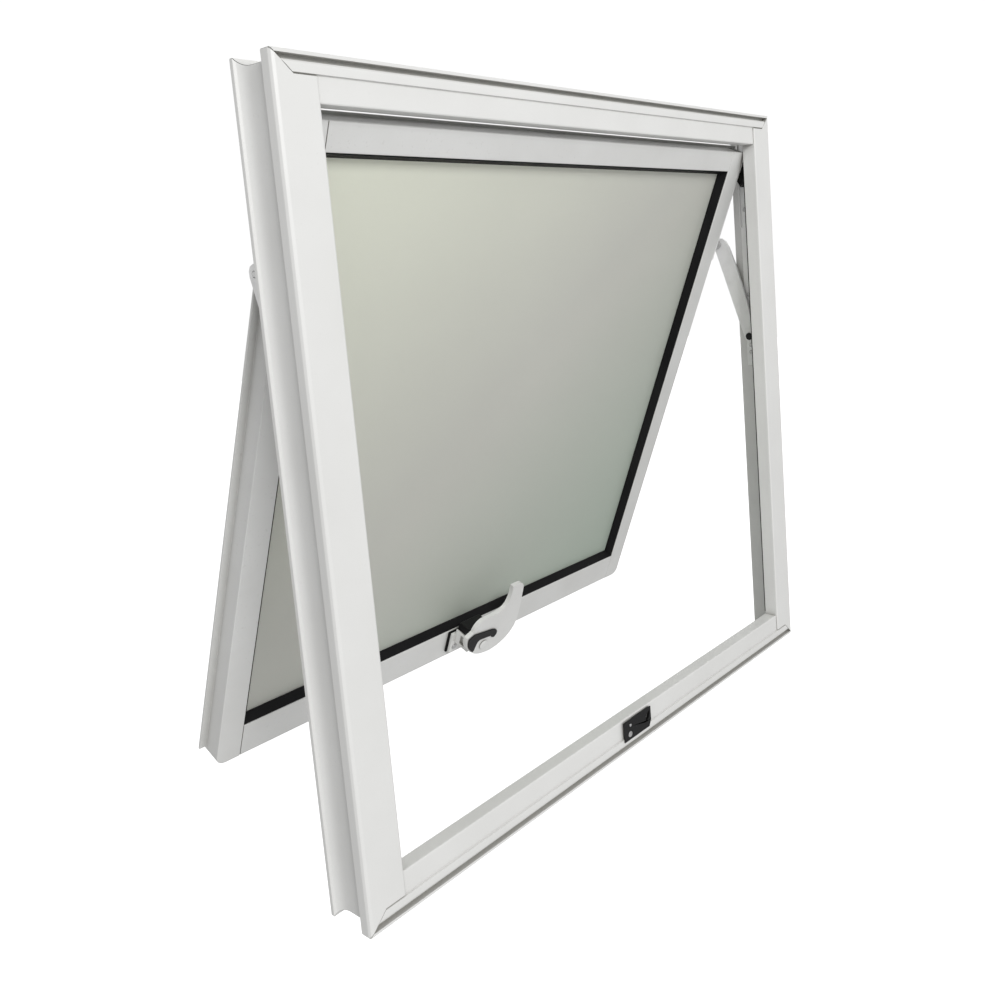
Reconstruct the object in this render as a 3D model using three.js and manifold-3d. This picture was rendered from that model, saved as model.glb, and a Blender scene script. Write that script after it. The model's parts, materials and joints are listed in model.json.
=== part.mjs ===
// Top-hung aluminium window: a fixed frame, a sash that tilts out on two friction stays, and a
// lever latch on the sash's bottom rail with its keeper on the sill.
// Millimetres, +Z up, -Y faces the room, +Y faces outdoors.
// Origin: the middle of the sill's underside, in the plane of the frame's front face.
import * as THREE from "three";
import { mergeVertices } from "three/addons/utils/BufferGeometryUtils.js";
import Module from "manifold-3d";

// ---- driving dimensions ----
const WIDTH = 600;
const HEIGHT = 600;
const FRAME_DEPTH = 47;
const SIGHT = 32; // width of a frame member's face
const BOX_DEPTH = 15.6; // depth of a frame member's hollow front box
const WALL = 1.6; // wall of every aluminium section
const WEB = 7; // inner face of the frame's web, from its outer edge
const GAP = 0.3; // play between touching pieces
const STRIP = 14.6; // outer strip of the head and sill, which runs across the jambs' ends
const FACE_STEP = 1.6; // the rest of their face lies this much deeper

const SASH_HALF_WIDTH = 274; // sash box, to either side of the centre line
const SASH_LOW = 10.5; // sash box, closed
const SASH_HIGH = 578.5;
const SASH_FRONT = 24.7; // plane of the sash's face, closed
const SASH_DEPTH = 23;
const FACE = 22; // face width of the stiles and the top rail
const BOTTOM_FACE = 34.5;
const LEG = 8.4; // part of the face that covers the glazing pocket
const FLANGE_FRONT = 18; // rear flange round the sash, depth from its face
const FLANGE_REAR = 20;
const SIDE_FLANGE = 6;
const END_FLANGE = 2;

const GLASS_FRONT = 9.5; // depth of the pane behind the sash's face
const GLASS_REAR = 13.5;

const PIVOT_Y = 30.6; // track line of both stays
const ARM_LENGTH = 112.4; // frame pivot to sash pivot
const LINK_LENGTH = 88; // sash pivot to sliding shoe
const TILT = THREE.MathUtils.degToRad(24); // sash at rest, fully open
const ARM_TILT = Math.asin((LINK_LENGTH * Math.sin(TILT)) / ARM_LENGTH);
const SHOE_CLOSED_Z = 556.5;
const FRAME_PIVOT_Z = SHOE_CLOSED_Z - LINK_LENGTH - ARM_LENGTH;
const SHOE_OPEN_Z = FRAME_PIVOT_Z + ARM_LENGTH * Math.cos(ARM_TILT) + LINK_LENGTH * Math.cos(TILT);

const LEVER_X = 1; // lever pivot on the closed sash
const LEVER_Z = 41;
const LEVER_BACK = -27; // depth of the lever's back, in front of the sash's face
const LEVER_THICK = 5;

// ---- materials ----
const paint = { color: 0xe4e5e2, roughness: 0.42, metalness: 0.1 };
const steel = { color: 0xb9bbbc, roughness: 0.32, metalness: 0.9 };
const alloy = { color: 0xc4c6c7, roughness: 0.4, metalness: 0.8 };
const rubber = { color: 0x101010, roughness: 0.75, metalness: 0 };
const plastic = { color: 0x161616, roughness: 0.5, metalness: 0 };
const frosted = { color: 0xb4bcb0, roughness: 0.35, metalness: 0 };

const wasm = await Module();
wasm.setup();
const whole = new THREE.Group();
const sash = new THREE.Group();
const X_AXIS = new THREE.Vector3(1, 0, 0);

// ---- geometry helpers ----
function tidy(geometry) {
  geometry.deleteAttribute("normal");
  geometry.deleteAttribute("uv");
  return mergeVertices(geometry, 1e-3);
}

function toSolid(geometry) {
  const merged = tidy(geometry);
  return new wasm.Manifold(
    new wasm.Mesh({
      numProp: 3,
      vertProperties: new Float32Array(merged.attributes.position.array),
      triVerts: new Uint32Array(merged.index.array),
    }),
  );
}

function toGeometry(solid) {
  const mesh = solid.getMesh();
  const geometry = new THREE.BufferGeometry();
  geometry.setAttribute("position", new THREE.BufferAttribute(mesh.vertProperties, 3));
  geometry.setIndex(new THREE.BufferAttribute(mesh.triVerts, 1));
  return geometry;
}

function cut(geometry, ...tools) {
  let solid = toSolid(geometry);
  for (const tool of tools) solid = solid.subtract(toSolid(tool));
  return toGeometry(solid);
}

function join(...geometries) {
  const [first, ...rest] = geometries.map(toSolid);
  return toGeometry(rest.reduce((sum, solid) => sum.add(solid), first));
}

function add(name, geometry, look, group = whole) {
  const mesh = new THREE.Mesh(geometry, new THREE.MeshStandardMaterial(look));
  mesh.name = name;
  group.add(mesh);
  return mesh;
}

function block(x0, x1, y0, y1, z0, z1) {
  const geometry = new THREE.BoxGeometry(x1 - x0, y1 - y0, z1 - z0);
  return geometry.translate((x0 + x1) / 2, (y0 + y1) / 2, (z0 + z1) / 2);
}

function outline(points, ...holes) {
  const shape = new THREE.Shape(points.map(([x, y]) => new THREE.Vector2(x, y)));
  for (const hole of holes) {
    shape.holes.push(new THREE.Path(hole.map(([x, y]) => new THREE.Vector2(x, y))));
  }
  return shape;
}

function rectangle(x0, x1, y0, y1) {
  return [[x0, y0], [x1, y0], [x1, y1], [x0, y1]];
}

// A bar of constant section. The section's x runs inward from the member's outer edge and its y
// runs to the rear; both ends lean by `mitre` for each millimetre inward.
function bar(shape, start, inward, length, mitre = 0, play = 0) {
  const geometry = new THREE.ExtrudeGeometry(shape, {
    depth: length,
    bevelEnabled: false,
    curveSegments: 6,
  });
  const position = geometry.attributes.position;
  for (let i = 0; i < position.count; i += 1) {
    const lean = position.getX(i) * mitre + play;
    const z = position.getZ(i);
    position.setZ(i, z < length / 2 ? z + lean : z - lean);
  }
  const rear = new THREE.Vector3(0, 1, 0);
  const along = inward.clone().cross(rear);
  const place = new THREE.Matrix4().makeBasis(inward, rear, along).setPosition(start);
  return geometry.applyMatrix4(place);
}

// The four bars round a rectangle, with a 45 degree mitre at each corner.
function fourBars(shape, left, right, low, high, y, play) {
  const bars = {
    head: [[left, y, high], [0, 0, -1], right - left],
    sill: [[right, y, low], [0, 0, 1], right - left],
    left: [[left, y, low], [1, 0, 0], high - low],
    right: [[right, y, high], [-1, 0, 0], high - low],
  };
  const result = {};
  for (const [side, [start, inward, length]] of Object.entries(bars)) {
    const from = new THREE.Vector3(...start);
    result[side] = bar(shape, from, new THREE.Vector3(...inward), length, 1, play);
  }
  return result;
}

// A closed ring of constant section round a rectangle.
function ring(section, left, right, low, high, y) {
  const reach = 100;
  const loop = [...section, section[0]].map(([inward, rear]) => new THREE.Vector2(reach - inward, rear));
  const geometry = tidy(new THREE.LatheGeometry(loop, 4, Math.PI / 4));
  const position = geometry.attributes.position;
  for (let i = 0; i < position.count; i += 1) {
    const radius = Math.hypot(position.getX(i), position.getZ(i));
    const inward = reach - radius;
    const x = position.getX(i) > 0 ? right - inward : left + inward;
    const z = position.getZ(i) > 0 ? high - inward : low + inward;
    position.setXYZ(i, x, y + position.getY(i), z);
  }
  return faceOut(geometry);
}

function faceOut(geometry) {
  const index = geometry.index.array;
  const position = geometry.attributes.position;
  const corner = (n) => new THREE.Vector3().fromBufferAttribute(position, index[n]);
  let volume = 0;
  for (let i = 0; i < index.length; i += 3) {
    volume += corner(i).dot(corner(i + 1).cross(corner(i + 2)));
  }
  if (volume < 0) index.reverse();
  return geometry;
}

// A plate whose outline lies in the plane of the window, x to the right and y upward.
function facePlate(shape, front, thickness) {
  const geometry = new THREE.ExtrudeGeometry(shape, {
    depth: thickness,
    bevelEnabled: false,
    curveSegments: 8,
  });
  return geometry.rotateX(Math.PI / 2).translate(0, front + thickness, 0);
}

// A plate beside a jamb: its outline is drawn in depth and height, `near` and `far` are
// distances inward from the frame's outer edge, and side is -1 on the left and 1 on the right.
function jambPlate(shape, side, near, far) {
  const geometry = new THREE.ExtrudeGeometry(shape, {
    depth: far - near,
    bevelEnabled: false,
    curveSegments: 6,
  });
  const right = new THREE.Matrix4().makeBasis(
    new THREE.Vector3(0, 1, 0),
    new THREE.Vector3(0, 0, 1),
    new THREE.Vector3(1, 0, 0),
  );
  const low = side > 0 ? WIDTH / 2 - far : -WIDTH / 2 + near;
  return geometry.applyMatrix4(right).translate(low, 0, 0);
}

// A pin across the gap beside a jamb, given as [distance inward, radius] steps.
function jambPin(steps, side, y, z) {
  const profile = steps.map(([inward, radius]) => new THREE.Vector2(radius, inward));
  const geometry = new THREE.LatheGeometry(profile, 16);
  geometry.rotateZ(side > 0 ? Math.PI / 2 : -Math.PI / 2);
  return geometry.translate((side * WIDTH) / 2, y, z);
}

// A pin or screw head on the window's plane, given as [distance towards the room, radius] steps.
function facePin(steps, x, z, y) {
  const profile = steps.map(([forward, radius]) => new THREE.Vector2(radius, forward));
  return new THREE.LatheGeometry(profile, 20).rotateX(Math.PI).translate(x, y, z);
}

function circle(x, y, radius) {
  return new THREE.Path().absarc(x, y, radius, 0, Math.PI * 2, true);
}

// ---- fixed frame ----
const CURVE_STEPS = 5;

function concaveEdge() {
  const from = new THREE.Vector2(0, FRAME_DEPTH - 3.5);
  const bend = new THREE.Vector2(WEB - WALL, FRAME_DEPTH - 5);
  const to = new THREE.Vector2(WEB - WALL, 31);
  const curve = new THREE.QuadraticBezierCurve(from, bend, to);
  return curve.getPoints(CURVE_STEPS).map((p) => [p.x, p.y]);
}

const POCKET_DEPTH = 7.4; // undercut behind the outer lip
const LIP_DEPTH = 11;
const LIP = 1.8;

// Head and sill: an outer lip, a deep groove, a raised strip and a step down to the inner face.
const RAIL_FRONT = [
  [0, 1], [0.8, 0.2], [2.6, 0.2], [2.8, 5.4], [5.6, 5.4], [6.2, 1.4], [7.6, 0.4], [9.5, 0], [13.7, 0],
  [14.2, FACE_STEP], [30.8, FACE_STEP], [31.7, 2], [SIGHT, 2.8],
];
// Jambs: a flat face with a rounded outer edge.
const JAMB_FRONT = [[0, 3], [0.9, 0.9], [3, 0], [30.8, 0], [31.7, 0.4], [SIGHT, 1.2]];

function frameSection(front) {
  const inside = [[SIGHT, BOX_DEPTH], [WEB, BOX_DEPTH], [WEB, FRAME_DEPTH], [0, FRAME_DEPTH]];
  const pocket = [[WEB - WALL, POCKET_DEPTH], [LIP, POCKET_DEPTH], [LIP, LIP_DEPTH]];
  const hollow = rectangle(WEB + 0.2, SIGHT - WALL, FACE_STEP + WALL, BOX_DEPTH - WALL);
  return outline([[0, LIP_DEPTH], ...front, ...inside, ...concaveEdge(), ...pocket], hollow);
}

// The outer strips meet in mitres; inside them the jambs run on and the head and sill stop short.
function buildFrame() {
  const half = WIDTH / 2;
  const play = GAP * Math.SQRT1_2;
  const rails = fourBars(frameSection(RAIL_FRONT), -half, half, 0, HEIGHT, 0, play);
  const jambSection = frameSection(JAMB_FRONT);
  const jambs = fourBars(jambSection, -half, half, 0, HEIGHT, 0, play);
  const inner = half - SIGHT - GAP;
  const notches = (low, high) => [
    block(-half - 1, -inner, -1, BOX_DEPTH + 1, low, high),
    block(inner, half + 1, -1, BOX_DEPTH + 1, low, high),
  ];
  add("frame_head", cut(rails.head, ...notches(HEIGHT - SIGHT - 1, HEIGHT - STRIP)), paint);
  add("frame_sill", cut(rails.sill, ...notches(STRIP, SIGHT + 1)), paint);
  const end = STRIP + GAP;
  const length = SIGHT + 2 - end;
  for (const [name, side] of [["left", -1], ["right", 1]]) {
    const inward = new THREE.Vector3(-side, 0, 0);
    const ends = [end, HEIGHT - end - length].map((low) => {
      const from = new THREE.Vector3(side * half, 0, side > 0 ? low + length : low);
      return bar(jambSection, from, inward, length);
    });
    add(`frame_jamb_${name}`, join(jambs[name], ...ends), paint);
  }
}

function buildCornerKeys() {
  const outer = WEB + 1;
  const inner = STRIP - 1.4;
  const leg = 78;
  const front = FACE_STEP + WALL + 0.6;
  const depth = BOX_DEPTH - WALL - 0.6 - front;
  for (const [row, up] of [["lower", 1], ["upper", -1]]) {
    for (const [column, right] of [["left", 1], ["right", -1]]) {
      const x = (-right * WIDTH) / 2;
      const z = up > 0 ? 0 : HEIGHT;
      const place = ([u, w]) => [x + right * u, z + up * w];
      const corners = [
        [outer, outer], [leg, outer], [leg, inner], [inner, inner], [inner, leg], [outer, leg],
      ];
      const key = facePlate(outline(corners.map(place)), front, depth);
      add(`corner_key_${row}_${column}`, key, alloy);
    }
  }
}

// A bulb seal stands behind the head and the sill; the jambs carry a thin flat strip, because the
// open sash passes close behind them.
function buildFrameSeals() {
  const root = BOX_DEPTH + GAP;
  const crown = SASH_FRONT - GAP;
  const bulb = outline([
    [0, root], [6, root], [5.4, root + 3], [6, crown - 2], [4.4, crown], [1.6, crown], [0, crown - 2],
    [0.6, root + 3],
  ]);
  const strip = outline(rectangle(20, 31, root, root + 1.4));
  const reach = 236;
  const half = WIDTH / 2;
  const low = 34;
  const high = 528;
  const up = new THREE.Vector3(0, 0, 1);
  const down = new THREE.Vector3(0, 0, -1);
  const right = new THREE.Vector3(1, 0, 0);
  const left = new THREE.Vector3(-1, 0, 0);
  add("seal_sill", bar(bulb, new THREE.Vector3(reach, 0, 11.6), up, 2 * reach), rubber);
  add("seal_head", bar(bulb, new THREE.Vector3(-reach, 0, HEIGHT - 12), down, 2 * reach), rubber);
  add("seal_jamb_left", bar(strip, new THREE.Vector3(-half, 0, low), right, high - low), rubber);
  add("seal_jamb_right", bar(strip, new THREE.Vector3(half, 0, high), left, high - low), rubber);
}

// ---- keeper on the sill's face ----
const KEEPER = { left: -18, right: 22, low: 11.4, high: 30.4, thickness: 1.1, corner: 3 };

function screwHead(x, z, seat, radius) {
  return facePin([[0, 0], [0, radius], [0.35, radius], [0.7, radius * 0.7], [0.7, 0]], x, z, seat);
}

function buildKeeper() {
  const { left, right, low, high, thickness, corner } = KEEPER;
  const shape = new THREE.Shape();
  shape.moveTo(left, low);
  shape.lineTo(right - corner, low);
  shape.lineTo(right, low + corner * 2);
  shape.lineTo(right, high);
  shape.lineTo(left, high);
  shape.closePath();
  const front = -GAP - thickness;
  const screws = { lower: [left + 8.4, low + 5, 2.8], upper: [left + 9.4, high - 5.6, 1.5] };
  for (const [x, z, radius] of Object.values(screws)) shape.holes.push(circle(x, z, radius + GAP));
  const riser = outline(rectangle(left + 14, right - 1, STRIP + 0.4, high - 0.6));
  const plate = join(facePlate(shape, front, thickness), facePlate(riser, -GAP - 0.2, FACE_STEP + 0.2));
  const recess = new THREE.Shape();
  recess.moveTo(right - 9, low + 6.4);
  recess.quadraticCurveTo(right - 7.5, high - 4.4, right - 2.2, high - 3.2);
  recess.quadraticCurveTo(right - 1.6, low + 7.5, right - 9, low + 6.4);
  const strike = facePlate(recess, front - 1, FACE_STEP - front + 2);
  add("keeper", cut(plate, strike), plastic);
  for (const [row, [x, z, radius]] of Object.entries(screws)) {
    const head = [[0, 0], [0, radius], [0.8, radius], [0.8, 0]];
    add(`keeper_screw_${row}`, facePin(head, x, z, front + 0.9), steel);
  }
}

// ---- friction stays: parts fixed to the jambs ----
const TRACK_NEAR = WEB + GAP;
const TRACK_FAR = TRACK_NEAR + 1.3;
const TRACK_HALF = 6.6;
const TRACK_LOW = 322;
const TRACK_HIGH = 578;
const TRACK_LIP = 1.2;
const TRACK_LIPS_FROM = 480; // the channel's lips guide the shoe only near the top
const TRACK_SCREWS = { lower: 404, upper: 500 };

function buildTrack(sideName, side) {
  const y0 = PIVOT_Y - TRACK_HALF;
  const y1 = PIVOT_Y + TRACK_HALF;
  const channel = (from, to, low, far) =>
    jambPlate(outline(rectangle(from, to, low, TRACK_HIGH)), side, TRACK_NEAR, far);
  const floor = channel(y0, y1, TRACK_LOW, TRACK_FAR);
  const frontLip = channel(y0, y0 + TRACK_LIP, TRACK_LIPS_FROM, TRACK_FAR + 2);
  const rearLip = channel(y1 - TRACK_LIP, y1, TRACK_LIPS_FROM, TRACK_FAR + 2);
  add(`stay_track_${sideName}`, join(floor, frontLip, rearLip), steel);
  const head = [[TRACK_FAR + GAP, 0], [TRACK_FAR + GAP, 3], [TRACK_FAR + 0.8, 2.8], [TRACK_FAR + 1.5, 1.4]];
  const steps = [...head, [TRACK_FAR + 1.5, 0]];
  for (const [row, z] of Object.entries(TRACK_SCREWS)) {
    add(`track_screw_${sideName}_${row}`, jambPin(steps, side, PIVOT_Y, z), steel);
  }
}

const BRACKET_FAR = TRACK_FAR + GAP + 1.5;
const ARM_NEAR = BRACKET_FAR + GAP;
const ARM_FAR = ARM_NEAR + 2.6;

function buildBracket(sideName, side) {
  const half = 5.6;
  const shape = new THREE.Shape();
  const low = FRAME_PIVOT_Z - 26;
  const high = FRAME_PIVOT_Z + 2;
  shape.moveTo(PIVOT_Y - half, low);
  shape.lineTo(PIVOT_Y + half, low);
  shape.lineTo(PIVOT_Y + half, high);
  shape.absarc(PIVOT_Y, high, half, 0, Math.PI, false);
  shape.closePath();
  add(`stay_bracket_${sideName}`, jambPlate(shape, side, TRACK_FAR + GAP, BRACKET_FAR), steel);
  const foot = BRACKET_FAR + GAP;
  const rivet = [[foot, 0], [foot, 2.3], [foot + 0.6, 2.1], [foot + 1.2, 1.2], [foot + 1.2, 0]];
  const spacing = { lower: FRAME_PIVOT_Z - 18.5, upper: FRAME_PIVOT_Z - 10.5 };
  for (const [row, z] of Object.entries(spacing)) {
    add(`bracket_rivet_${sideName}_${row}`, jambPin(rivet, side, PIVOT_Y, z), steel);
  }
  const shank = 2.2;
  const seat = ARM_FAR + GAP;
  const pin = [[foot, 0], [foot, shank], [seat, shank], [seat, 4.4], [seat + 1.2, 3.8], [seat + 1.2, 0]];
  add(`frame_pivot_pin_${sideName}`, jambPin(pin, side, PIVOT_Y, FRAME_PIVOT_Z), plastic);
}

// ---- friction stays: arm and shoe, placed at rest with the sash fully open ----
// The arm is a cranked strip: its edge towards the room swells above the lower pivot.
const ARM_EDGE = 6.2; // pivot to the arm's straight edge
const ARM_BORE = 2.6;
const ARM_SWELL = [
  [18, 9.2], [38, 11.8], [60, 13], [82, 13.2], [104, 12.4], [112, 10.6], [117, 7], [119.2, 2.5], [119, -2],
  [116.5, -5],
];

function buildArm(sideName, side) {
  const place = ([along, roomward]) => [
    PIVOT_Y + along * Math.sin(ARM_TILT) - roomward * Math.cos(ARM_TILT),
    FRAME_PIVOT_Z + along * Math.cos(ARM_TILT) + roomward * Math.sin(ARM_TILT),
  ];
  const heel = Array.from({ length: 9 }, (unused, i) => {
    const angle = (i * Math.PI) / 8;
    return [-ARM_EDGE * Math.sin(angle), -ARM_EDGE * Math.cos(angle)];
  });
  const shape = outline([...heel, ...ARM_SWELL, [ARM_LENGTH, -ARM_EDGE]].map(place));
  const bores = [0, ARM_LENGTH].map((end) => {
    const bore = new THREE.Shape().absarc(...place([end, 0]), ARM_BORE, 0, Math.PI * 2, false);
    return jambPlate(bore, side, ARM_NEAR - 1, ARM_FAR + 1);
  });
  add(`stay_arm_${sideName}`, cut(jambPlate(shape, side, ARM_NEAR, ARM_FAR), ...bores), steel);
}

const SHOE_NEAR = TRACK_FAR + GAP;
const SHOE_FAR = 16;

function buildShoe(sideName, side) {
  const half = 4.6;
  const shape = new THREE.Shape();
  const z = SHOE_OPEN_Z;
  shape.moveTo(PIVOT_Y - half, z + 15);
  shape.lineTo(PIVOT_Y - half, z - 11);
  shape.lineTo(PIVOT_Y, z - 18);
  shape.lineTo(PIVOT_Y + half, z - 11);
  shape.lineTo(PIVOT_Y + half, z + 15);
  shape.closePath();
  shape.holes.push(circle(PIVOT_Y, z, 2.4));
  add(`stay_shoe_${sideName}`, jambPlate(shape, side, SHOE_NEAR, SHOE_FAR), plastic);
}

// ---- sash, drawn closed and turned open as one group ----
function sashSection(face) {
  const box = face - LEG;
  return outline(
    [
      [0, 0.6], [0.6, 0], [face - 0.6, 0], [face, 0.6], [face, 2], [box, 2], [box, SASH_DEPTH],
      [0, SASH_DEPTH],
    ],
    rectangle(WALL, box - WALL, WALL, SASH_DEPTH - WALL),
  );
}

const CORNER_ROUND = 9;

// Takes the sash's lower outer corner off in a quarter circle.
function roundedCorner(side, low) {
  const centre = SASH_HALF_WIDTH - CORNER_ROUND;
  const top = SASH_LOW + CORNER_ROUND;
  const outer = SASH_HALF_WIDTH + SIDE_FLANGE + 1;
  const shape = new THREE.Shape();
  shape.moveTo(side * centre, low - 1);
  shape.lineTo(side * outer, low - 1);
  shape.lineTo(side * outer, top);
  for (let step = 0; step <= 6; step += 1) {
    const angle = (step * Math.PI) / 12;
    shape.lineTo(side * (centre + CORNER_ROUND * Math.cos(angle)), top - CORNER_ROUND * Math.sin(angle));
  }
  shape.closePath();
  return facePlate(shape, SASH_FRONT - 1, FLANGE_REAR + SASH_DEPTH);
}

function buildStile(sideName, side) {
  const start = side > 0 ? SASH_HIGH : SASH_LOW;
  const inward = new THREE.Vector3(-side, 0, 0);
  const corner = new THREE.Vector3(side * SASH_HALF_WIDTH, SASH_FRONT, start);
  const body = bar(sashSection(FACE), corner, inward, SASH_HIGH - SASH_LOW);
  const low = SASH_LOW - END_FLANGE;
  const high = SASH_HIGH + END_FLANGE;
  const y0 = SASH_FRONT + FLANGE_FRONT;
  const y1 = SASH_FRONT + FLANGE_REAR;
  const span = (a, b) => [Math.min(side * a, side * b), Math.max(side * a, side * b)];
  const outer = SASH_HALF_WIDTH + SIDE_FLANGE;
  const flange = block(...span(SASH_HALF_WIDTH - 0.8, outer), y0, y1, low, high);
  const end = span(SASH_HALF_WIDTH - FACE + LEG, outer);
  const lowEnd = block(...end, y0, y1, low, SASH_LOW + 0.8);
  const highEnd = block(...end, y0, y1, SASH_HIGH - 0.8, high);
  const stile = join(body, flange, lowEnd, highEnd);
  add(`sash_stile_${sideName}`, cut(stile, roundedCorner(side, low)), paint, sash);
}

function buildRail(name, face, up) {
  const reach = SASH_HALF_WIDTH - FACE + LEG - GAP;
  const edge = up > 0 ? SASH_LOW : SASH_HIGH;
  const start = new THREE.Vector3(up * reach, SASH_FRONT, edge);
  const body = bar(sashSection(face), start, new THREE.Vector3(0, 0, up), reach * 2);
  const lip = [edge - up * END_FLANGE, edge + up * 0.8].sort((a, b) => a - b);
  const y0 = SASH_FRONT + FLANGE_FRONT;
  const flange = block(-reach, reach, y0, y0 + FLANGE_REAR - FLANGE_FRONT, ...lip);
  const z0 = Math.min(edge - up, edge + up * (face + 1));
  const z1 = Math.max(edge - up, edge + up * (face + 1));
  const end = SASH_HALF_WIDTH - FACE - GAP;
  const behindLeg = SASH_FRONT + 2 + GAP;
  const leftCut = block(-reach - 1, -end, SASH_FRONT - 1, behindLeg, z0, z1);
  const rightCut = block(end, reach + 1, SASH_FRONT - 1, behindLeg, z0, z1);
  add(name, cut(join(body, flange), leftCut, rightCut), paint, sash);
}

const POCKET = FACE - LEG; // glazing pocket, from the sash box's outer edge
const BOTTOM_EXTRA = BOTTOM_FACE - FACE;

function pocketEdges(inset) {
  const half = SASH_HALF_WIDTH - inset;
  return [-half, half, SASH_LOW + BOTTOM_EXTRA + inset, SASH_HIGH - inset];
}

function buildGlazing() {
  const [left, right, low, high] = pocketEdges(POCKET + 2.4);
  const y0 = SASH_FRONT + GLASS_FRONT;
  const y1 = SASH_FRONT + GLASS_REAR;
  add("glass_pane", block(left, right, y0, y1, low, high), frosted, sash);
  const lip = LEG + GAP;
  const front = [[GAP, 2.3], [lip, 2.3], [lip, 0.9], [lip + 0.6, 0.8], [14.4, 9.2], [GAP, 9.2]];
  const rear = [[2, 13.8], [10, 13.8], [9, 16.5], [2, 16.5]];
  add("glazing_gasket_front", ring(front, ...pocketEdges(POCKET), SASH_FRONT), rubber, sash);
  add("glazing_gasket_rear", ring(rear, ...pocketEdges(POCKET), SASH_FRONT), rubber, sash);
  const bead = outline(
    [[GAP, 16.8], [10.4, 16.8], [9.6, 22.7], [GAP, 22.7]],
    rectangle(1.6, 8.2, 18.1, 21.4),
  );
  const beads = fourBars(bead, ...pocketEdges(POCKET), SASH_FRONT, GAP * Math.SQRT1_2);
  add("glazing_bead_top", beads.head, paint, sash);
  add("glazing_bead_bottom", beads.sill, paint, sash);
  add("glazing_bead_left", beads.left, paint, sash);
  add("glazing_bead_right", beads.right, paint, sash);
}

function buildSashBar(sideName, side) {
  const near = 22.6;
  const far = WIDTH / 2 - SASH_HALF_WIDTH - GAP;
  const y0 = SASH_FRONT + 1;
  const y1 = SASH_FRONT + 13;
  const shape = outline([
    [y0, SHOE_CLOSED_Z - 104], [y0 + 3, SHOE_CLOSED_Z - 107], [y1 - 3, SHOE_CLOSED_Z - 107],
    [y1, SHOE_CLOSED_Z - 104], [y1, SHOE_CLOSED_Z + 16], [y0, SHOE_CLOSED_Z + 16],
  ]);
  add(`sash_bar_${sideName}`, jambPlate(shape, side, near, far), steel, sash);
  const top = near - GAP;
  const shank = [[SHOE_NEAR + 1, 0], [SHOE_NEAR + 1, 2], [top, 2], [top, 0]];
  add(`shoe_pin_${sideName}`, jambPin(shank, side, PIVOT_Y, SHOE_CLOSED_Z), steel, sash);
  const cap = ARM_NEAR - 0.1;
  const pin = [[cap, 0], [cap, 2.2], [ARM_FAR + GAP, 2.2], [ARM_FAR + GAP, 4.6], [top, 4.6], [top, 0]];
  add(`arm_pin_${sideName}`, jambPin(pin, side, PIVOT_Y, SHOE_CLOSED_Z - LINK_LENGTH), steel, sash);
}

// ---- latch: the base is fixed to the sash, the lever turns on it ----
const BASE_LOW = 20;
const POST_LOW = 34.2; // the post passes over the sill when the sash closes
const POST_HIGH = 50;
const COVER_HIGH = 58;

function buildLatchBase() {
  const face = SASH_FRONT;
  const pad = outline(rectangle(-21, 17, BASE_LOW - 1, 44.5));
  add("latch_pad", facePlate(pad, face - 2.6, 2.3), rubber, sash);
  const foot = facePlate(outline(rectangle(-19.5, 15.5, BASE_LOW, 44)), face - 6.4, 3.5);
  const post = new THREE.Shape();
  post.moveTo(-16, POST_LOW);
  post.lineTo(15, POST_LOW);
  post.lineTo(19, 41);
  post.lineTo(17, POST_HIGH);
  post.lineTo(-16, POST_HIGH);
  post.closePath();
  const back = face + LEVER_BACK + GAP;
  const body = facePlate(post, back, face - 6 - back);
  const slot = block(-17, -13, back + 6, back + 13, POST_LOW + 3, POST_HIGH - 3);
  add("latch_base", cut(join(foot, body), slot), paint, sash);
  const cover = outline([
    [-15, POST_HIGH + GAP], [16, POST_HIGH + GAP], [14, COVER_HIGH], [-13, COVER_HIGH],
  ]);
  add("latch_cover", facePlate(cover, back, face - 6 - back), plastic, sash);
  const seat = face - 6.4 - GAP;
  add("latch_screw_left", screwHead(-14, BASE_LOW + 6.5, seat, 3), steel, sash);
  add("latch_screw_right", screwHead(10, BASE_LOW + 6.5, seat, 3), steel, sash);
  const shank = [[0, 0], [0, 4], [LEVER_THICK + GAP, 4], [LEVER_THICK + GAP, 0]];
  add("latch_pivot_pin", facePin(shank, LEVER_X, LEVER_Z, back - GAP), steel, sash);
}

function leverShape() {
  const shape = new THREE.Shape();
  shape.moveTo(-14, 36.5);
  shape.bezierCurveTo(-8, 30, 4, 27, 14, 27);
  shape.bezierCurveTo(29, 28.5, 40, 35, 45.5, 47.5);
  shape.bezierCurveTo(48.5, 58, 47.5, 72, 46, 84);
  shape.lineTo(45, 97);
  shape.bezierCurveTo(44.5, 103, 42, 106.5, 37, 106.5);
  shape.lineTo(27, 106.5);
  shape.bezierCurveTo(28.5, 98, 28.5, 91, 24.5, 83);
  shape.bezierCurveTo(20, 76, 4, 76.5, -8, 76);
  shape.bezierCurveTo(-14, 74, -17, 69, -18, 64);
  shape.lineTo(-26, 60);
  shape.bezierCurveTo(-27, 50, -22, 42, -14, 36.5);
  shape.holes.push(circle(LEVER_X, LEVER_Z, 4.4));
  return shape;
}

function hookShape() {
  const shape = new THREE.Shape();
  shape.moveTo(-14.3, 38.2);
  shape.lineTo(-12.7, 39.5);
  shape.lineTo(-11, 46);
  shape.bezierCurveTo(-10.5, 49, -9, 51, -6, 51.2);
  shape.lineTo(8.9, 49.6);
  shape.lineTo(10.5, 47.2);
  shape.lineTo(14, 45.5);
  shape.bezierCurveTo(19.5, 48, 19.5, 56, 9, 58.4);
  shape.lineTo(-17, 62.2);
  shape.lineTo(-24, 58.6);
  shape.bezierCurveTo(-24.8, 49, -21, 43.5, -14.3, 38.2);
  return shape;
}

const LEVER_CAP = 5.6;

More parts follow.
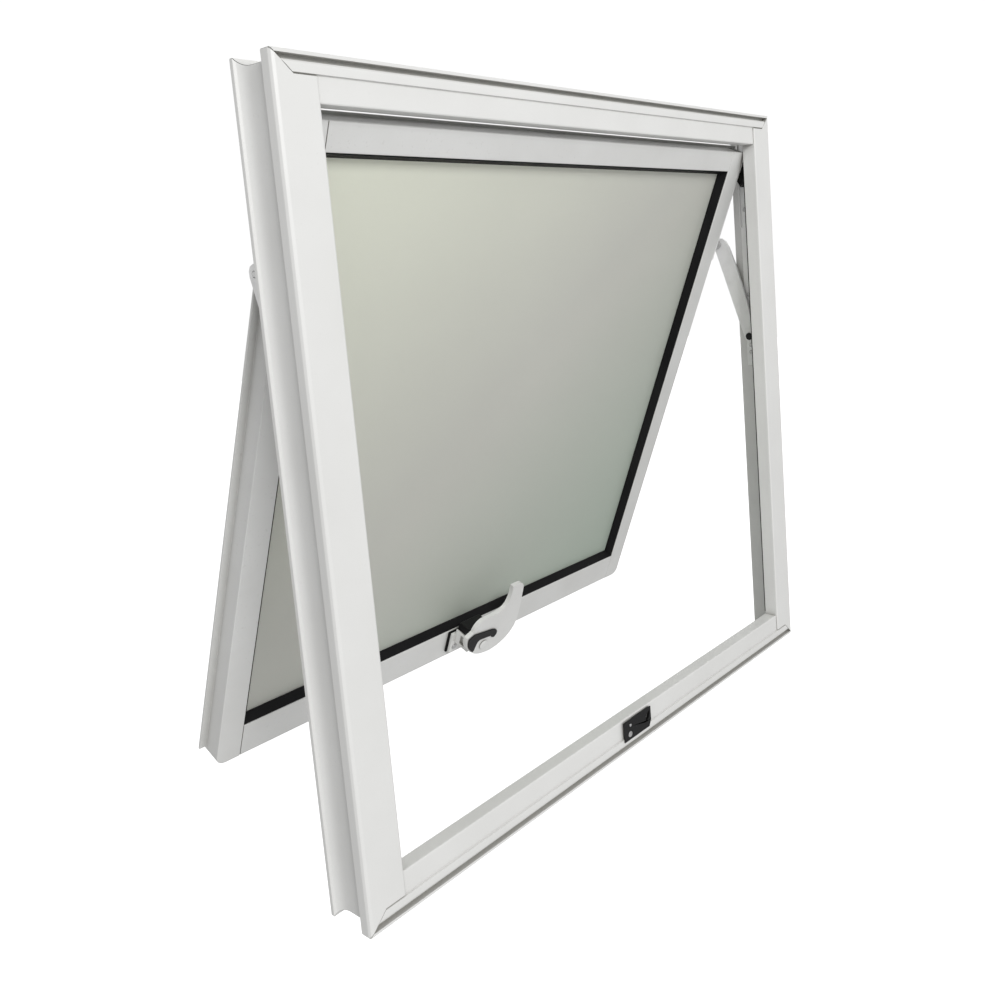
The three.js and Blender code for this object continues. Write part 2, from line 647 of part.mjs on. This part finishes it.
function buildLever() {
  const front = SASH_FRONT + LEVER_BACK - LEVER_THICK;
  add("latch_lever", facePlate(leverShape(), front, LEVER_THICK), paint, sash);
  const inlay = 1.2;
  add("lever_hook_inlay", facePlate(hookShape(), front - GAP - inlay, inlay), plastic, sash);
  const cap = [[0, 0], [0, LEVER_CAP], [1, LEVER_CAP - 0.5], [1.6, LEVER_CAP - 3], [1.6, 0]];
  add("lever_pivot_cap", facePin(cap, LEVER_X, LEVER_Z, front - 2 * GAP), paint, sash);
}

// ---- assembly ----
buildFrame();
buildCornerKeys();
buildFrameSeals();
buildKeeper();
buildStile("left", -1);
buildStile("right", 1);
buildRail("sash_rail_top", FACE, -1);
buildRail("sash_rail_bottom", BOTTOM_FACE, 1);
buildGlazing();
buildLatchBase();
buildLever();
for (const [sideName, side] of [["left", -1], ["right", 1]]) {
  buildTrack(sideName, side);
  buildBracket(sideName, side);
  buildArm(sideName, side);
  buildShoe(sideName, side);
  buildSashBar(sideName, side);
}

// The open sash turns about the shoe's pin, and that pin has slid down the track.
const closedPin = new THREE.Vector3(0, PIVOT_Y, SHOE_CLOSED_Z);
const openPin = new THREE.Vector3(0, PIVOT_Y, SHOE_OPEN_Z);
sash.quaternion.setFromAxisAngle(X_AXIS, TILT);
sash.position.copy(openPin.sub(closedPin.applyQuaternion(sash.quaternion)));
whole.add(sash);
whole.updateMatrixWorld(true);

export default whole;
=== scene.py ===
"""Looks of a top-hung aluminium window: fixed frame, tilted sash, friction stays and lever latch."""

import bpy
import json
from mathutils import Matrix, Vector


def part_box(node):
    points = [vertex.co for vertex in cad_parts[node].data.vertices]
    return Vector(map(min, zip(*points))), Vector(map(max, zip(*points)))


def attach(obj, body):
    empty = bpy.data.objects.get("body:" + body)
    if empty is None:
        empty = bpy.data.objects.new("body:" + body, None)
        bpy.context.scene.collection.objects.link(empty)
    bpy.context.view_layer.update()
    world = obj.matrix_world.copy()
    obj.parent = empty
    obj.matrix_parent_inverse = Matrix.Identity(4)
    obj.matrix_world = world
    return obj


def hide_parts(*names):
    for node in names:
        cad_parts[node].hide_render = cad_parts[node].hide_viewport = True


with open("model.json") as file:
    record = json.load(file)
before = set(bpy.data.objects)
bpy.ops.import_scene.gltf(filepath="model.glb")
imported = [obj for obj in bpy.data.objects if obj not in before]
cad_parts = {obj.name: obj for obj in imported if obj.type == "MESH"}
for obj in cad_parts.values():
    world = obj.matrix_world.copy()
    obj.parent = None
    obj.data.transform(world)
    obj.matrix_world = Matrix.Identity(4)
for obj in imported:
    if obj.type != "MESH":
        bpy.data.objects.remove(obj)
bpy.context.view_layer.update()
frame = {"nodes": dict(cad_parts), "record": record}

import json
import math

import bmesh
import bpy
from mathutils import Euler, Vector

bl_info = {
    "name": "Top-hung window",
    "version": (1, 0, 0),
    "blender": (4, 5, 0),
    "location": "View3D > Sidebar > Window",
    "description": "Finishes the pieces of a top-hung window with friction stays and a lever latch",
    "category": "Object",
}

MM = 0.001
RECORD = frame["record"]
BODY_OF = {node: body for body, nodes in RECORD["behaviour"]["bodies"].items() for node in nodes}
SLOT_OF = {part["node"]: part["material_slot"] for part in RECORD["subparts"]}


# ---------------------------------------------------------------- settings
class WindowFinish(bpy.types.PropertyGroup):
    """Colours and edge sizes that a user may want to change."""

    paint: bpy.props.FloatVectorProperty(
        name="Frame paint", description="Powder coat of the frame", subtype="COLOR",
        size=3, min=0, max=1, default=(0.80, 0.80, 0.785),
    )
    sash_paint: bpy.props.FloatVectorProperty(
        name="Sash paint", description="Powder coat of the sash", subtype="COLOR",
        size=3, min=0, max=1, default=(0.74, 0.742, 0.73),
    )
    glass: bpy.props.FloatVectorProperty(
        name="Glass", description="Tint of the frosted pane", subtype="COLOR",
        size=3, min=0, max=1, default=(0.73, 0.735, 0.68),
    )
    edge: bpy.props.FloatProperty(
        name="Edge radius", description="Rounding of the drawn bars' edges", unit="LENGTH",
        min=0, max=0.001, default=0.00035,
    )


def settings():
    return bpy.context.scene.window_finish


# ---------------------------------------------------------------- shader helpers
# The Mix node's sockets when it mixes colours.
MIX_FACTOR, MIX_FIRST, MIX_SECOND, MIX_RESULT = 0, 6, 7, 2


def feed(tree, socket, value):
    """Links a socket to an input, or sets the input to a plain value."""
    if isinstance(value, bpy.types.NodeSocket):
        tree.links.new(value, socket)
    else:
        socket.default_value = value


def shader(tree, kind, **inputs):
    """A new node, with its inputs given by name, as values or as sockets to link."""
    made = tree.nodes.new(kind)
    for key, value in inputs.items():
        feed(tree, made.inputs[key.replace("_", " ")], value)
    return made


def arithmetic(tree, operation, *terms):
    made = tree.nodes.new("ShaderNodeMath")
    made.operation = operation
    for socket, value in zip(made.inputs, terms):
        feed(tree, socket, value)
    return made.outputs[0]


def mix_colour(tree, factor, first, second, blend="MIX"):
    made = tree.nodes.new("ShaderNodeMix")
    made.data_type = "RGBA"
    made.blend_type = blend
    feed(tree, made.inputs[MIX_FACTOR], factor)
    feed(tree, made.inputs[MIX_FIRST], first)
    feed(tree, made.inputs[MIX_SECOND], second)
    return made.outputs[MIX_RESULT]


def spread(tree, value, low, high, to_low=0.0, to_high=1.0):
    """Maps low..high onto to_low..to_high, held at the ends."""
    made = shader(
        tree, "ShaderNodeMapRange",
        Value=value, From_Min=low, From_Max=high, To_Min=to_low, To_Max=to_high,
    )
    return made.outputs[0]


def object_noise(tree, scale, stretch=(1, 1, 1), detail=2.0):
    """Noise in object space, drawn out along the axes by stretch."""
    where = tree.nodes.new("ShaderNodeTexCoord")
    mapping = shader(tree, "ShaderNodeMapping", Scale=stretch, Vector=where.outputs["Object"])
    noise = shader(
        tree, "ShaderNodeTexNoise", Scale=scale, Detail=detail,
        Roughness=NOISE_ROUGHNESS, Vector=mapping.outputs[0],
    )
    return noise.outputs[0]


def new_group(name, inputs, outputs):
    group = bpy.data.node_groups.new(name, "ShaderNodeTree")
    for label, kind, default in inputs:
        socket = group.interface.new_socket(name=label, in_out="INPUT", socket_type=kind)
        socket.default_value = default
    for label, kind in outputs:
        group.interface.new_socket(name=label, in_out="OUTPUT", socket_type=kind)
    return group, group.nodes.new("NodeGroupInput"), group.nodes.new("NodeGroupOutput")


# ---------------------------------------------------------------- shared finishes
DETAIL_OUTPUTS = [
    ("Color", "NodeSocketColor"), ("Roughness", "NodeSocketFloat"), ("Height", "NodeSocketFloat"),
]

CREVICE_REACH = 12 * MM
CREVICE_SAMPLES = 6
# How open a point is to its surroundings where the painted shade starts, and where it is darkest.
SHADE_STARTS, SHADE_FULL = 0.86, 0.3

# Noise scales are in repeats per metre.
NOISE_ROUGHNESS = 0.5
MOTTLE_SCALE, MOTTLE_DETAIL = 14, 4
MOTTLE_RANGE = (0.35, 0.75)
SPECK_SCALE = 420
SPECK_RANGE = (0.62, 0.75)
ORANGE_PEEL_SCALE = 1400
MOTTLE_ROUGHENS = 0.12

GRAIN_SCALE = 900
GRAIN_STRETCH = (1, 1, 0.03)
SMEAR_SCALE, SMEAR_DETAIL = 45, 4
SMEAR_RANGE = (0.5, 0.8)
SMEAR_DEPTH = 0.55
GRAIN_ROUGHENS = 0.2


def painted_crevice_shade(tree, strength):
    """How deep a point lies in a groove or corner, times strength: the mask of the painted shade
    there.
    """
    shade = shader(tree, "ShaderNodeAmbientOcclusion", Distance=CREVICE_REACH)
    shade.samples = CREVICE_SAMPLES
    buried = spread(tree, shade.outputs["AO"], SHADE_STARTS, SHADE_FULL)
    return arithmetic(tree, "MULTIPLY", buried, strength)


def coating_group():
    """Powder coat: faint mottling, dust, painted shade in grooves and corners, and the orange peel
    of baked paint.
    """
    inputs = [
        ("Color", "NodeSocketColor", (0.8, 0.8, 0.8, 1)),
        ("Dust And Shade Color", "NodeSocketColor", (0.5, 0.5, 0.47, 1)),
        ("Dust", "NodeSocketFloat", 0.15),
        ("Gloss", "NodeSocketFloat", 0.4),
        # How strongly grooves and corners are darkened as painted shade.
        ("Painted Shade Strength", "NodeSocketFloat", 0.8),
    ]
    group, source, out = new_group("powder_coat", inputs, DETAIL_OUTPUTS)
    clean, dust_and_shade_colour = source.outputs["Color"], source.outputs["Dust And Shade Color"]
    mottle = spread(group, object_noise(group, MOTTLE_SCALE, detail=MOTTLE_DETAIL), *MOTTLE_RANGE)
    specks = spread(group, object_noise(group, SPECK_SCALE), *SPECK_RANGE)
    marks = arithmetic(group, "MAXIMUM", mottle, specks)
    dusty = arithmetic(group, "MULTIPLY", marks, source.outputs["Dust"])
    colour = mix_colour(group, dusty, clean, dust_and_shade_colour)
    # Painted shade: the colour is multiplied by the dust colour in grooves and corners.
    painted_shade = painted_crevice_shade(group, source.outputs["Painted Shade Strength"])
    colour = mix_colour(group, painted_shade, colour, dust_and_shade_colour, "MULTIPLY")
    rough = arithmetic(group, "MULTIPLY_ADD", mottle, MOTTLE_ROUGHENS, source.outputs["Gloss"])
    group.links.new(colour, out.inputs["Color"])
    group.links.new(rough, out.inputs["Roughness"])
    group.links.new(object_noise(group, ORANGE_PEEL_SCALE), out.inputs["Height"])
    return group


def metal_group():
    """Rolled or brushed metal: fine grain along one axis, with a few darker smears."""
    inputs = [
        ("Color", "NodeSocketColor", (0.6, 0.6, 0.6, 1)),
        ("Smear Color", "NodeSocketColor", (0.3, 0.3, 0.29, 1)),
        ("Gloss", "NodeSocketFloat", 0.3),
    ]
    group, source, out = new_group("metal_grain", inputs, DETAIL_OUTPUTS)
    grain = object_noise(group, GRAIN_SCALE, stretch=GRAIN_STRETCH)
    smudges = object_noise(group, SMEAR_SCALE, detail=SMEAR_DETAIL)
    smear = spread(group, smudges, *SMEAR_RANGE, 0, SMEAR_DEPTH)
    colour = mix_colour(group, smear, source.outputs["Color"], source.outputs["Smear Color"])
    rough = arithmetic(group, "MULTIPLY_ADD", grain, GRAIN_ROUGHENS, source.outputs["Gloss"])
    group.links.new(colour, out.inputs["Color"])
    group.links.new(rough, out.inputs["Roughness"])
    group.links.new(grain, out.inputs["Height"])
    return group


# ---------------------------------------------------------------- materials
RELIEF_STRENGTH = 0.6
# The paints' second colour: real dust, and also multiplied in as painted shade in grooves and
# corners.
DUST_AND_SHADE = (0.42, 0.41, 0.38)
BLACK = (0.004, 0.004, 0.0045)
# The blacks' second colour: real dust, and also multiplied in as painted shade in grooves and
# corners.
DUST_AND_SHADE_BLACK = (0.03, 0.03, 0.029)
MATERIALS = {}


def blank_material(name):
    material = bpy.data.materials.new(name)
    material.use_nodes = True
    return material, material.node_tree, material.node_tree.nodes["Principled BSDF"]


def surface(name, group, colours, gloss, relief, metallic=0.0, dust=None, coat=0.0, shine=0.5):
    """Makes a material whose colour, roughness and relief come from a shared group."""
    material, tree, bsdf = blank_material(name)
    detail = tree.nodes.new("ShaderNodeGroup")
    detail.node_tree = group
    for socket, colour in zip(detail.inputs, colours):
        socket.default_value = (*colour, 1)
    if dust is not None:
        detail.inputs["Dust"].default_value = dust
    detail.inputs["Gloss"].default_value = gloss
    bump = shader(
        tree, "ShaderNodeBump",
        Distance=relief, Strength=RELIEF_STRENGTH, Height=detail.outputs["Height"],
    )
    tree.links.new(detail.outputs["Color"], bsdf.inputs["Base Color"])
    tree.links.new(detail.outputs["Roughness"], bsdf.inputs["Roughness"])
    tree.links.new(bump.outputs[0], bsdf.inputs["Normal"])
    bsdf.inputs["Metallic"].default_value = metallic
    bsdf.inputs["Coat Weight"].default_value = coat
    bsdf.inputs["Specular IOR Level"].default_value = shine
    MATERIALS[name] = material


# Painted light and reflection: the pane is warm and light at its upper left, and cool and darker at
# its lower right as painted shade.
GLASS_PAINTED_LIGHT = (1.27, 1.29, 1.21)
GLASS_PAINTED_SHADE = (0.74, 0.86, 0.80)
GLASS_CLOUD = (0.7, 0.7, 0.7)
GLASS_PLAIN_BY, GLASS_SHADE_FROM = 0.45, 0.5
# Across and down count equally towards the slant from painted light to painted shade.
EQUAL_SHARE = 0.5
CLOUD_SCALE, CLOUD_DEPTH = 5, 0.1
ETCH_SCALE, ETCH_RELIEF, ETCH_STRENGTH = 1600, 0.04 * MM, 0.5
ETCH_ROUGHNESS = (0.38, 0.5)
GLASS_NOISE_RANGE = (0.3, 0.7)
GLASS_SEE_THROUGH = 0.35
GLASS_IOR = 1.45


def tinted(tint, factors):
    return (*(part * factor for part, factor in zip(tint, factors)), 1)


def frosted_glass(name):
    """Satin glass: a milky, faintly green pane that lets light through, with painted light at its
    upper left and painted shade at its lower right.
    """
    material, tree, bsdf = blank_material(name)
    tint = settings().glass
    where = tree.nodes.new("ShaderNodeTexCoord")
    place = shader(tree, "ShaderNodeSeparateXYZ", Vector=where.outputs["Object"])
    low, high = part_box("glass_pane")
    rightward = spread(tree, place.outputs["X"], low.x, high.x)
    downward = spread(tree, place.outputs["Z"], low.z, high.z, 1.0, 0.0)
    half_down = arithmetic(tree, "MULTIPLY", downward, EQUAL_SHARE)
    slant = arithmetic(tree, "MULTIPLY_ADD", rightward, EQUAL_SHARE, half_down)
    upper = spread(tree, slant, 0.0, GLASS_PLAIN_BY)
    lower = spread(tree, slant, GLASS_SHADE_FROM, 1.0)
    # Painted light towards the upper left, painted shade towards the lower right.
    toned = mix_colour(tree, upper, tinted(tint, GLASS_PAINTED_LIGHT), (*tint, 1))
    toned = mix_colour(tree, lower, toned, tinted(tint, GLASS_PAINTED_SHADE))
    cloud = spread(tree, object_noise(tree, CLOUD_SCALE), *GLASS_NOISE_RANGE, 0.0, CLOUD_DEPTH)
    toned = mix_colour(tree, cloud, toned, tinted(tint, GLASS_CLOUD))
    etch = object_noise(tree, ETCH_SCALE)
    bump = shader(tree, "ShaderNodeBump", Distance=ETCH_RELIEF, Strength=ETCH_STRENGTH, Height=etch)
    tree.links.new(toned, bsdf.inputs["Base Color"])
    tree.links.new(bump.outputs[0], bsdf.inputs["Normal"])
    rough = spread(tree, etch, *GLASS_NOISE_RANGE, *ETCH_ROUGHNESS)
    tree.links.new(rough, bsdf.inputs["Roughness"])
    bsdf.inputs["Transmission Weight"].default_value = GLASS_SEE_THROUGH
    bsdf.inputs["IOR"].default_value = GLASS_IOR
    MATERIALS[name] = material


def make_paints(coat):
    paint = tuple(settings().paint)
    sash = tuple(settings().sash_paint)
    surface("frame_paint", coat, (paint, DUST_AND_SHADE), gloss=0.34, relief=0.02 * MM, dust=0.10, coat=0.12)
    surface("sash_paint", coat, (sash, DUST_AND_SHADE), gloss=0.36, relief=0.02 * MM, dust=0.22, coat=0.1)
    surface("latch_paint", coat, (paint, DUST_AND_SHADE), gloss=0.28, relief=0.03 * MM, dust=0.16, coat=0.25)


def make_blacks(coat):
    blacks = (BLACK, DUST_AND_SHADE_BLACK)
    for name in ("seal_rubber", "gasket_rubber", "pad_rubber"):
        surface(name, coat, blacks, gloss=0.5, relief=0.06 * MM, dust=0.3, shine=0.12)
    surface("black_plastic", coat, blacks, gloss=0.4, relief=0.05 * MM, dust=0.25, shine=0.25)
    surface("black_hardware", coat, blacks, gloss=0.3, relief=0.04 * MM, dust=0.2, shine=0.25)


def make_metals(grain):
    key_colours = ((0.62, 0.63, 0.64), (0.4, 0.4, 0.4))
    stay_colours = ((0.93, 0.93, 0.925), (0.7, 0.7, 0.69))
    pin_colours = ((0.6, 0.6, 0.6), (0.25, 0.24, 0.22))
    surface("key_alloy", grain, key_colours, gloss=0.35, relief=0.02 * MM, metallic=1.0)
    surface("stay_steel", grain, stay_colours, gloss=0.34, relief=0.02 * MM, metallic=0.3)
    surface("pin_steel", grain, pin_colours, gloss=0.2, relief=0.01 * MM, metallic=1.0)


# ---------------------------------------------------------------- mesh helpers
MERGE_WITHIN = 0.002 * MM
BEVEL_MERGE_WITHIN = 0.001 * MM
FLAT_ANGLE = math.radians(0.4)
SMOOTH_ANGLE = math.radians(38)
# The least turn between two faces, in degrees, whose edge is rounded.
EDGE_TURN = 28
BAR_EDGE_TURN = 20
SEAL_EDGE_TURN = 15


def bmesh_of(node):
    """A CAD node's shape with its shared points merged and its flat faces whole again."""
    shape = bmesh.new()
    shape.from_mesh(frame["nodes"][node].data)
    bmesh.ops.remove_doubles(shape, verts=shape.verts, dist=MERGE_WITHIN)
    bmesh.ops.dissolve_limit(
        shape, angle_limit=FLAT_ANGLE, use_dissolve_boundaries=False,
        verts=shape.verts, edges=shape.edges,
    )
    return shape


def round_edges(shape, radius, segments, edge_turn):
    least = math.radians(edge_turn)
    sharp = [edge for edge in shape.edges if edge.is_manifold and edge.calc_face_angle() > least]
    bmesh.ops.bevel(
        shape, geom=sharp, offset=radius, offset_type="OFFSET", affect="EDGES",
        segments=segments, profile=0.5, material=-1, clamp_overlap=True,
    )
    bmesh.ops.remove_doubles(shape, verts=shape.verts, dist=BEVEL_MERGE_WITHIN)


def soften(node, radius, segments=2, edge_turn=EDGE_TURN):
    """Puts a finished piece with rounded edges in a CAD node's place, on the same body."""
    name = f"{node}_finished"
    slot = SLOT_OF[node]
    shape = bmesh_of(node)
    round_edges(shape, radius, segments, edge_turn)
    shape.normal_update()
    mesh = bpy.data.meshes.new(name)
    shape.to_mesh(mesh)
    shape.free()
    mesh.shade_smooth()
    mesh.set_sharp_from_angle(angle=SMOOTH_ANGLE)
    mesh.materials.append(MATERIALS[slot])
    piece = bpy.data.objects.new(name, mesh)
    bpy.context.scene.collection.objects.link(piece)
    weighted = piece.modifiers.new("flat faces stay flat", "WEIGHTED_NORMAL")
    weighted.keep_sharp = True
    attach(piece, BODY_OF[node])
    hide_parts(node)


def soften_all(starts, radius, segments=2, edge_turn=EDGE_TURN):
    """Softens every node whose name begins with one of the given words."""
    for node in sorted(BODY_OF):
        if node.startswith(starts):
            soften(node, radius, segments, edge_turn)


# ---------------------------------------------------------------- operators
class WINDOW_OT_materials(bpy.types.Operator):
    """Build the paint, metal, rubber and glass"""

    bl_idname = "window.materials"
    bl_label = "Materials"

    def execute(self, context):
        coat = coating_group()
        make_paints(coat)
        make_blacks(coat)
        make_metals(metal_group())
        frosted_glass("frosted_glass")
        for node, piece in frame["nodes"].items():
            piece.data.materials.clear()
            piece.data.materials.append(MATERIALS[SLOT_OF[node]])
        return {"FINISHED"}


class WINDOW_OT_fixed_frame(bpy.types.Operator):
    """Finish the head, sill, jambs, corner keys and seals"""

    bl_idname = "window.fixed_frame"
    bl_label = "Fixed frame"

    def execute(self, context):
        bars = ("frame_head", "frame_sill", "frame_jamb")
        soften_all(bars, settings().edge, edge_turn=BAR_EDGE_TURN)
        soften_all("corner_key", radius=0.5 * MM)
        soften_all("seal_", radius=0.4 * MM, segments=3, edge_turn=SEAL_EDGE_TURN)
        return {"FINISHED"}


class WINDOW_OT_keeper(bpy.types.Operator):
    """Finish the keeper and its screws"""

    bl_idname = "window.keeper"
    bl_label = "Keeper"

    def execute(self, context):
        soften_all("keeper", radius=0.25 * MM, segments=3)
        return {"FINISHED"}


class WINDOW_OT_sash(bpy.types.Operator):
    """Finish the sash's stiles and rails"""

    bl_idname = "window.sash"
    bl_label = "Sash"

    def execute(self, context):
        soften_all(("sash_stile", "sash_rail"), settings().edge)
        return {"FINISHED"}


class WINDOW_OT_glazing(bpy.types.Operator):
    """Finish the pane, gaskets and beads"""

    bl_idname = "window.glazing"
    bl_label = "Glazing"

    def execute(self, context):
        soften("glass_pane", radius=0.6 * MM, segments=3)
        soften_all("glazing_gasket", radius=0.3 * MM)
        soften_all("glazing_bead", radius=0.4 * MM)
        return {"FINISHED"}


class WINDOW_OT_latch(bpy.types.Operator):
    """Finish the latch on the sash's bottom rail"""

    bl_idname = "window.latch"
    bl_label = "Latch"

    def execute(self, context):
        soften("latch_pad", radius=0.5 * MM)
        soften("latch_base", radius=0.8 * MM, segments=3)
        soften("latch_cover", radius=0.8 * MM, segments=3)
        soften("latch_lever", radius=1.6 * MM, segments=5)
        soften("lever_hook_inlay", radius=0.4 * MM, segments=3)
        soften("lever_pivot_cap", radius=0.5 * MM, segments=3)
        soften("latch_pivot_pin", radius=0.3 * MM)
        soften_all("latch_screw", radius=0.2 * MM)
        return {"FINISHED"}


class WINDOW_OT_stays(bpy.types.Operator):
    """Finish both friction stays"""

    bl_idname = "window.stays"
    bl_label = "Friction stays"

    def execute(self, context):
        plates_and_pins = ("stay_", "sash_bar", "arm_pin", "shoe_pin", "frame_pivot_pin")
        for starts in (plates_and_pins, ("bracket_rivet", "track_screw")):
            soften_all(starts, radius=0.3 * MM, segments=3)
        return {"FINISHED"}


# ---------------------------------------------------------------- stage
WHITE = (1, 1, 1, 1)
FLOOR_COLOUR = (0.8, 0.8, 0.8, 1)
FLOOR_ROUGHNESS = 0.9
FLOOR_REACH = 12
FLOOR_HEIGHT = -1.0
# Brightness of the floor and sky for other rays, and for what the camera sees.
FLOOR_GLOW = (0.05, 0.9)
SKY_SEEN = (0.0, 0.6)
# Brightness of the sky for other rays, and in reflections.
SKY_MIRRORED = (0.42, 0.80)

LAMP_AT = Vector((-1.2, -2.6, 1.8))
LAMP_AIM = Vector((0, 0, 0.35))
LAMP_SIZE = 1.0
LAMP_POWER = 62

CAMERA_AT = Vector((-0.6407, -0.5404, 0.4628))
CAMERA_TURN = Euler([math.radians(angle) for angle in (82.237, 3.635, -52.910)])
CAMERA_LENS = 34.476
CAMERA_SENSOR = 36
CAMERA_SHIFT = (-0.1619, -0.1175)
CAMERA_CLIP = 0.01


def add_floor(scene):
    ground = bmesh.new()
    bmesh.ops.create_grid(ground, x_segments=1, y_segments=1, size=FLOOR_REACH)
    bmesh.ops.translate(ground, verts=ground.verts, vec=(0, 0, FLOOR_HEIGHT))
    mesh = bpy.data.meshes.new("floor")
    ground.to_mesh(mesh)
    ground.free()
    pale, tree, bsdf = blank_material("pale_floor")
    bsdf.inputs["Base Color"].default_value = FLOOR_COLOUR
    bsdf.inputs["Roughness"].default_value = FLOOR_ROUGHNESS
    bsdf.inputs["Emission Color"].default_value = WHITE
    rays = tree.nodes.new("ShaderNodeLightPath")
    glow = spread(tree, rays.outputs["Is Camera Ray"], 0, 1, *FLOOR_GLOW)
    tree.links.new(glow, bsdf.inputs["Emission Strength"])
    mesh.materials.append(pale)
    floor = bpy.data.objects.new("floor", mesh)
    scene.collection.objects.link(floor)


def add_sky(scene):
    world = bpy.data.worlds.new("soft studio")
    world.use_nodes = True
    tree = world.node_tree
    background = tree.nodes["Background"]
    rays = tree.nodes.new("ShaderNodeLightPath")
    seen = spread(tree, rays.outputs["Is Camera Ray"], 0, 1, *SKY_SEEN)
    mirrored = spread(tree, rays.outputs["Is Glossy Ray"], 0, 1, *SKY_MIRRORED)
    background.inputs["Color"].default_value = WHITE
    tree.links.new(arithmetic(tree, "ADD", seen, mirrored), background.inputs["Strength"])
    scene.world = world


def add_lamp(scene):
    light = bpy.data.lights.new("key", "AREA")
    light.shape = "SQUARE"
    light.size = LAMP_SIZE
    light.energy = LAMP_POWER
    lamp = bpy.data.objects.new("key", light)
    lamp.location = LAMP_AT
    lamp.rotation_euler = (LAMP_AIM - LAMP_AT).to_track_quat("-Z", "Y").to_euler()
    scene.collection.objects.link(lamp)


def add_camera(scene):
    lens = bpy.data.cameras.new("view")
    lens.sensor_width = CAMERA_SENSOR
    lens.lens = CAMERA_LENS
    lens.shift_x, lens.shift_y = CAMERA_SHIFT
    lens.clip_start = CAMERA_CLIP
    camera = bpy.data.objects.new("view", lens)
    camera.location = CAMERA_AT
    camera.rotation_euler = CAMERA_TURN
    scene.collection.objects.link(camera)
    bpy.context.scene.camera = camera


class WINDOW_OT_stage(bpy.types.Operator):
    """Set the floor, sky, lamp and camera"""

    bl_idname = "window.stage"
    bl_label = "Stage"

    def execute(self, context):
        for add in (add_floor, add_sky, add_lamp, add_camera):
            add(context.scene)
        context.scene.view_settings.view_transform = "Standard"
        return {"FINISHED"}


# ---------------------------------------------------------------- panel and start
class WINDOW_PT_panel(bpy.types.Panel):
    """Lists the window's pieces and settings"""

    bl_label = "Top-hung window"
    bl_idname = "WINDOW_PT_panel"
    bl_space_type = "VIEW_3D"
    bl_region_type = "UI"
    bl_category = "Window"

    def draw(self, context):
        column = self.layout.column()
        for name in ("paint", "sash_paint", "glass", "edge"):
            column.prop(context.scene.window_finish, name)
        for step in STEPS:
            column.operator(step.bl_idname)


STEPS = (
    WINDOW_OT_materials, WINDOW_OT_fixed_frame, WINDOW_OT_keeper, WINDOW_OT_sash,
    WINDOW_OT_glazing, WINDOW_OT_latch, WINDOW_OT_stays, WINDOW_OT_stage,
)
CLASSES = (WindowFinish, *STEPS, WINDOW_PT_panel)


def register():
    for cls in CLASSES:
        bpy.utils.register_class(cls)
    bpy.types.Scene.window_finish = bpy.props.PointerProperty(type=WindowFinish)


def unregister():
    del bpy.types.Scene.window_finish
    for cls in reversed(CLASSES):
        bpy.utils.unregister_class(cls)


def main():
    register()
    for step in STEPS:
        group, action = step.bl_idname.split(".")
        getattr(getattr(bpy.ops, group), action)()


if __name__ == "__main__":
    main()
